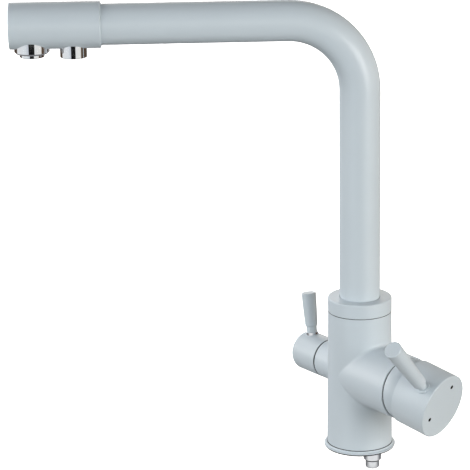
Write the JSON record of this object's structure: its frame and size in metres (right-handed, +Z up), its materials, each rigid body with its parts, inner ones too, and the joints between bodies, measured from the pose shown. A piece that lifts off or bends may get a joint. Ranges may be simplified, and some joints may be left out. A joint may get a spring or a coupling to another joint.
{
  "type": "drinking water filter tap",
  "caption": "Deck tap with a swivel spout that bends over, separate mixed and filtered water outlets, a tilting side mixer lever and a small filter lever.",
  "frame": {"origin": "on the body axis in the plane of the deck, in the fixing stud thread", "axes": "+Z up along the body axis, +X towards the mixer cap, -X towards the filter valve, -Y towards the person"},
  "size_m": [0.2643, 0.2482, 0.3653],
  "materials": {
    "paint": "satin grey paint",
    "chrome": "polished",
    "steel": "machined",
    "brass": "machined",
    "black_rubber": "matte",
    "white_plastic": "matte",
    "grey_plastic": "matte",
    "black_plastic": "gloss",
    "disc_ceramic": "lapped"
  },
  "bodies": {
    "tap_body": {"body_casting": "paint", "base_ring": "paint", "base_gasket": "black_rubber", "filter_inlet_nipple": "chrome", "nipple_o_ring": "black_rubber", "riser_spigot": "brass", "riser_o_ring": "black_rubber", "lower_glide_ring": "white_plastic", "upper_glide_ring": "white_plastic", "spout_collar": "paint", "cartridge_foot": "white_plastic", "cartridge_seals": "black_rubber", "fixed_ceramic_disc": "disc_ceramic", "cartridge_housing": "white_plastic", "clamp_nut": "brass", "dome_ring": "paint", "valve_seat_seal": "black_rubber", "valve_fixed_disc": "disc_ceramic", "valve_headwork": "brass"},
    "spout": {"spout_foot": "brass", "spout_foot_o_rings": "black_rubber", "spout_tube": "paint", "filter_tube": "white_plastic", "outlet_head": "paint", "head_plug": "paint", "filter_elbow": "white_plastic", "elbow_o_ring": "black_rubber", "aerator_housing": "chrome", "aerator_insert": "grey_plastic", "aerator_mouth": "chrome", "aerator_washer": "black_rubber", "drinking_nozzle": "chrome", "nozzle_insert": "grey_plastic", "nozzle_washer": "black_rubber"},
    "mixer_rotor": {"cartridge_rotor": "white_plastic", "stem_pin": "steel"},
    "mixer_handle": {"lever_stem": "steel", "mixer_cap": "paint", "mixer_lever_rod": "paint", "mixer_lever_seat": "paint", "mixer_grub_screw": "steel", "index_dots": "black_plastic"},
    "mixer_discs": {"moving_ceramic_disc": "disc_ceramic", "disc_carrier": "grey_plastic"},
    "filter_handle": {"valve_moving_disc": "disc_ceramic", "valve_spindle": "brass", "spindle_o_ring": "black_rubber", "spindle_clip": "steel", "filter_cap": "paint", "filter_lever_rod": "paint", "filter_lever_seat": "chrome", "filter_grub_screw": "steel"}
  },
  "joints": [
    {"name": "spout_swivel", "type": "hinge", "parent": "tap_body", "child": "spout", "pos_m": [0, 0, 0.1], "axis": [0, 0, 1], "continuous": true},
    {"name": "mixer_turn", "type": "hinge", "parent": "tap_body", "child": "mixer_rotor", "pos_m": [0.0539, 0, 0.0608], "axis": [1, 0, 0], "range_deg": [-93.8, 6.2]},
    {"name": "mixer_lift", "type": "hinge", "parent": "mixer_rotor", "child": "mixer_handle", "pos_m": [0.0539, 0, 0.0608], "axis": [0, 0.7218, 0.6921], "range_deg": [-13.8, 0]},
    {"name": "disc_slide", "type": "slide", "parent": "mixer_rotor", "child": "mixer_discs", "axis": [0, -0.6921, 0.7218], "range_m": [-0.0014, 0.0001]},
    {"name": "filter_turn", "type": "hinge", "parent": "tap_body", "child": "filter_handle", "pos_m": [-0.05, 0, 0.0594], "axis": [1, 0, 0], "range_deg": [0, 90]}
  ],
  "couplings": [
    {"joint": "disc_slide", "follows": "mixer_lift", "m_per_rad": 0.0054}
  ]
}
